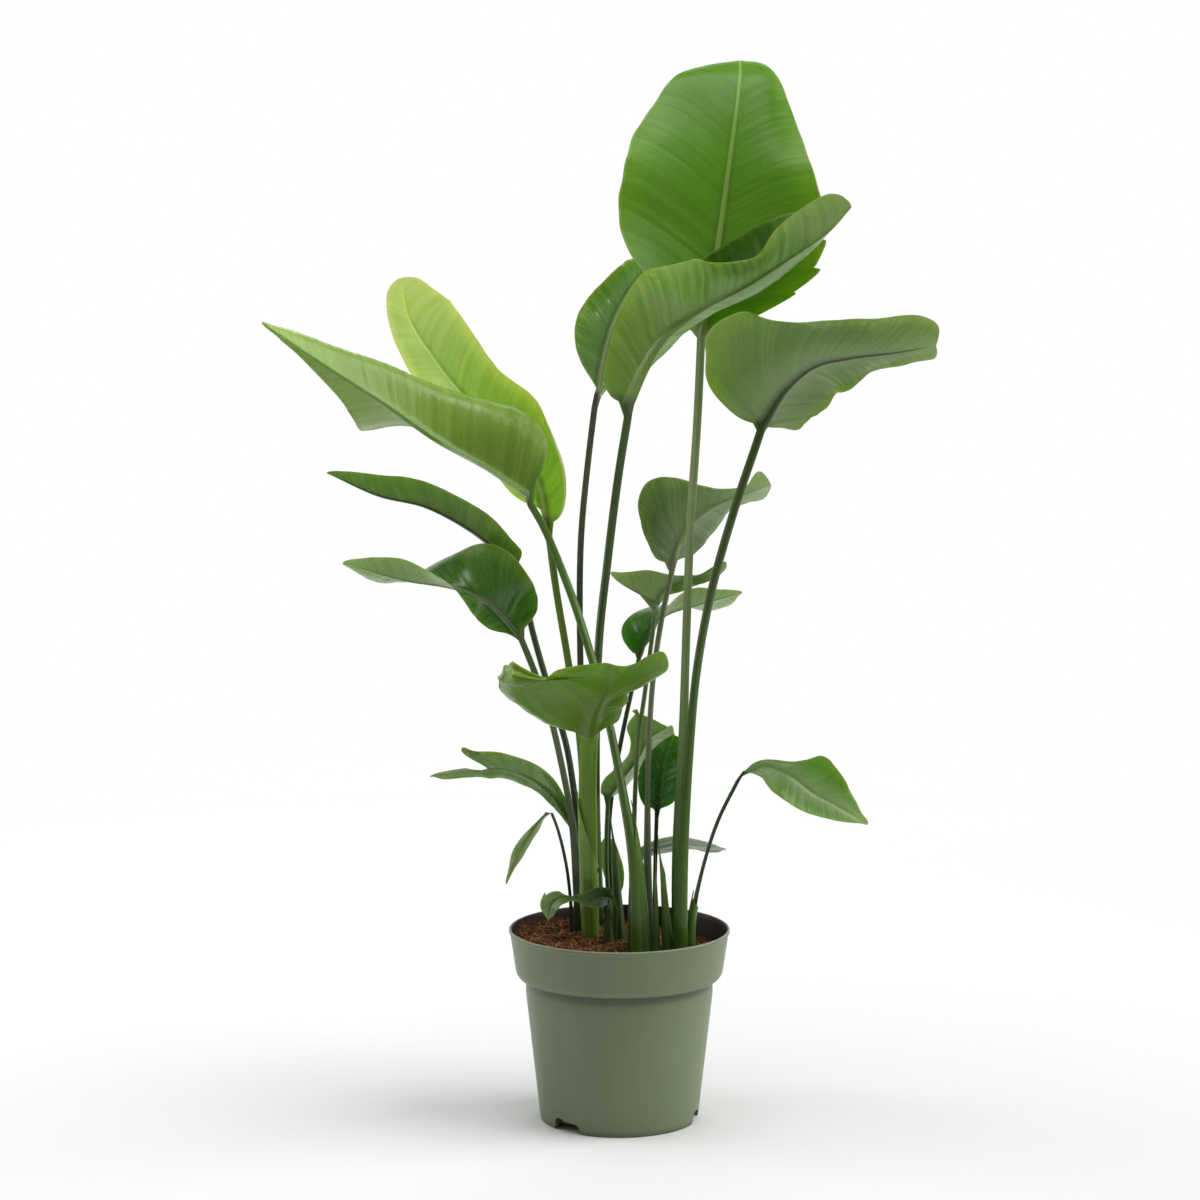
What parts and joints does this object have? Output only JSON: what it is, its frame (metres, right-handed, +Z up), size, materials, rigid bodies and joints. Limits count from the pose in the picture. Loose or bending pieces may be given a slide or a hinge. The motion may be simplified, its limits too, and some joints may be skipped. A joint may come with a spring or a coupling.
{
  "type": "potted white bird of paradise",
  "caption": "Young white bird of paradise with broad arching leaves on long stalks, rising from soil in a round tapered nursery pot with a deep collar.",
  "frame": {"origin": "middle of the pot's foot, on the surface the pot stands on", "axes": "+Z up along the pot's axis, -Y to the front of the picture, +X to its right"},
  "size_m": [0.7085, 0.3046, 1.143],
  "materials": {
    "pot": "satin moulded plastic, sage green",
    "soil": "moist brown peat with fibres and bark bits",
    "leaf_bright": "waxy leaf, bright green",
    "leaf_young": "waxy young leaf, yellow green",
    "leaf_middle": "waxy leaf, middle green",
    "leaf_dark": "glossy leaf, dark green",
    "leaf_pale": "bloomed leaf underside, pale grey green"
  },
  "bodies": {
    "root": {"pot": "pot", "soil": "soil", "leaf_tall_upright": "leaf_middle", "leaf_front_trough": "leaf_middle", "leaf_back_trough": "leaf_dark", "leaf_right_large": "leaf_middle", "leaf_left_young": "leaf_young", "leaf_left_large": "leaf_middle", "leaf_left_narrow": "leaf_middle", "leaf_left_twisted": "leaf_dark", "leaf_inner_cupped": "leaf_dark", "leaf_inner_upper": "leaf_pale", "leaf_inner_lower": "leaf_dark", "leaf_front_centre": "leaf_bright", "leaf_centre_small": "leaf_pale", "leaf_centre_dark": "leaf_dark", "leaf_low_left": "leaf_middle", "leaf_low_hanging": "leaf_pale", "leaf_low_crossing": "leaf_middle", "leaf_low_right": "leaf_middle", "leaf_back_low": "leaf_pale", "leaf_back_small": "leaf_dark"}
  },
  "joints": []
}
